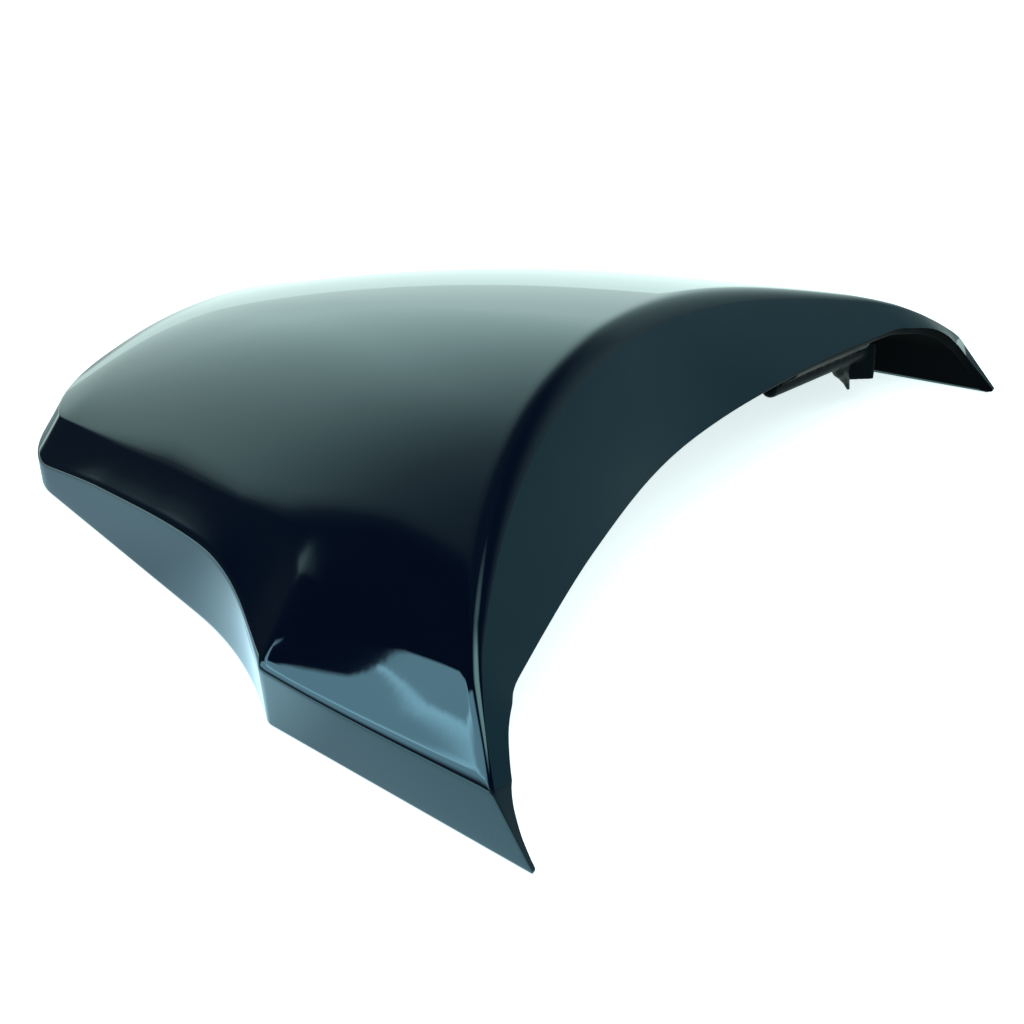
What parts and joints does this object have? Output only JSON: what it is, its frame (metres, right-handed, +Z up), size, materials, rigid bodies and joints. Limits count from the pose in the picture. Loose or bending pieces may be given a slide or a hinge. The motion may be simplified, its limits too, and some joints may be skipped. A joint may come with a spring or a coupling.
{
  "type": "seat cowl",
  "caption": "Gloss black motorbike seat cowl: crowned shell with a leaning front arch, side wings and rounded tail, with hook brackets and a latch frame underneath.",
  "frame": {"origin": "centre of the bounding box on the plane that the bottom edge rests on", "axes": "+Z up, -Y to the open arched front, +Y to the rounded tail, +X across the width"},
  "size_m": [0.2636, 0.22, 0.06],
  "materials": {
    "gloss_black": "injection moulded ABS, gloss lacquered outside, satin fascia and inside",
    "bracket_black": "moulded nylon",
    "frame_black": "steel sheet, satin powder coat",
    "post_black": "moulded ABS",
    "brass": "machined",
    "zinc": "zinc plated",
    "chrome": "bent bar, bright zinc plated",
    "rubber": "moulded"
  },
  "bodies": {
    "root": {"shell": "gloss_black", "hook_bracket_left": "bracket_black", "hook_bracket_right": "bracket_black", "latch_frame": "frame_black", "post_front_left": "post_black", "post_front_right": "post_black", "post_rear_left": "post_black", "post_rear_right": "post_black", "inserts": "brass", "washers": "zinc", "screws": "zinc", "striker": "chrome", "buffer_front_left": "rubber", "buffer_front_right": "rubber", "buffer_rear_left": "rubber", "buffer_rear_right": "rubber"}
  },
  "joints": []
}
